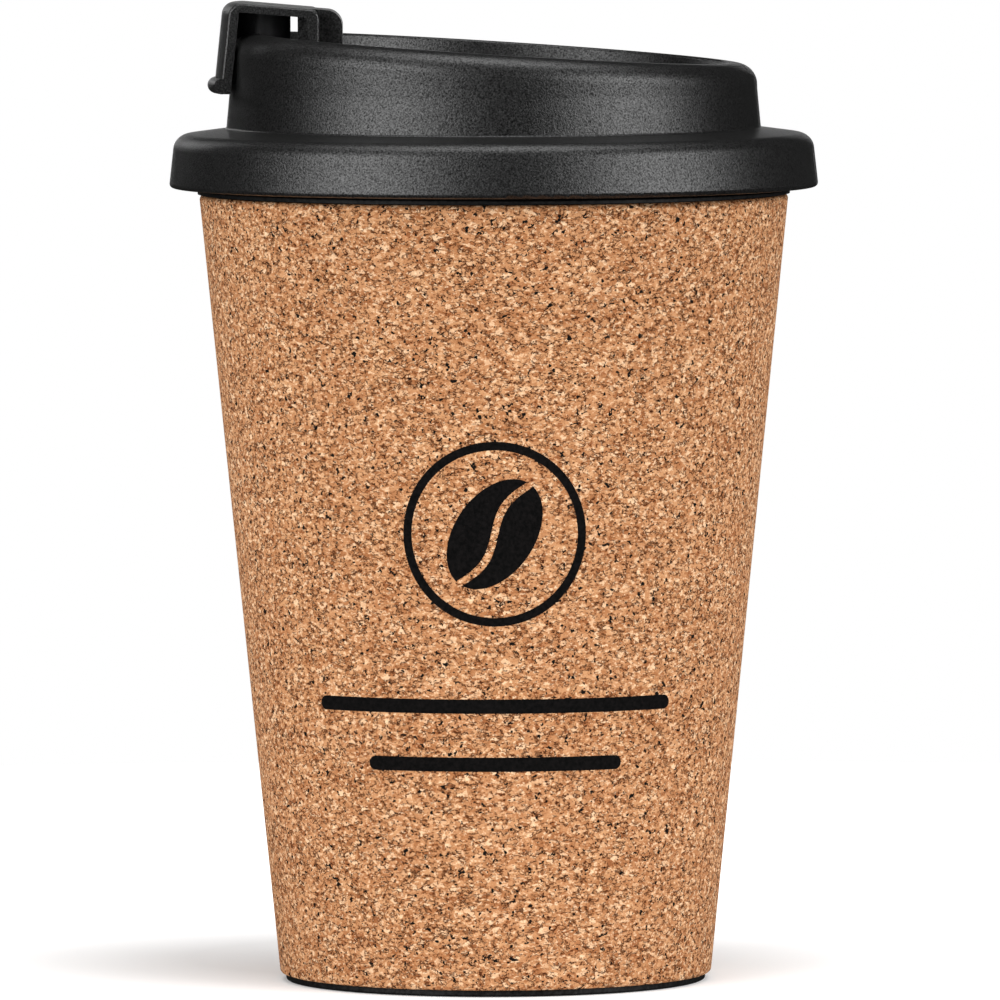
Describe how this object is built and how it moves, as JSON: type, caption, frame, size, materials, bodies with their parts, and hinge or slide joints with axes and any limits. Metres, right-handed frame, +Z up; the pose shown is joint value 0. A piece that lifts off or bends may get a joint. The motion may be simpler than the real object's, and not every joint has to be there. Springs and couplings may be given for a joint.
{
  "type": "travel cup",
  "caption": "Rigid conical double-wall travel cup with a cork sleeve, black screw-on dome lid and a hinged flip stopper over the sip hole.",
  "frame": {"origin": "centre of the standing ring, on the surface the cup stands on", "axes": "+Z up along the cup's axis; the sip hole and the flip stopper are on the -X side, the hinge axis runs along Y"},
  "size_m": [0.092, 0.092, 0.1389],
  "materials": {
    "liner_plastic": "black polypropylene, fine matte texture",
    "shell_plastic": "black polypropylene, hidden under the cork",
    "cork": "fine-grained agglomerated cork sheet, unvarnished",
    "base_plastic": "black polypropylene",
    "lid_plastic": "black polypropylene, fine spark-eroded texture",
    "seal_silicone": "black silicone",
    "cap_plastic": "black polypropylene, fine spark-eroded texture",
    "plug_silicone": "black silicone",
    "pin_steel": "drawn stainless steel rod"
  },
  "bodies": {
    "cup": {"inner_liner": "liner_plastic", "outer_shell": "shell_plastic", "cork_sleeve": "cork", "base_cap": "base_plastic"},
    "seal": {"lid_seal": "seal_silicone"},
    "lid": {"lid_body": "lid_plastic", "hinge_pin": "pin_steel"},
    "flip": {"flip_cap": "cap_plastic", "stopper_plug": "plug_silicone"}
  },
  "joints": [
    {"name": "lid_rise", "type": "slide", "parent": "cup", "child": "seal", "axis": [0, 0, 1], "range_m": [0, 0.0161]},
    {"name": "lid_turn", "type": "hinge", "parent": "seal", "child": "lid", "pos_m": [0, 0, 0.118], "axis": [0, 0, 1], "range_deg": [0, 720]},
    {"name": "flip_hinge", "type": "hinge", "parent": "lid", "child": "flip", "pos_m": [-0.02488, 0, 0.13022], "axis": [0, 1, 0], "range_deg": [0, 150]}
  ],
  "couplings": [
    {"joint": "lid_rise", "follows": "lid_turn", "m_per_rad": 0.0012732}
  ]
}
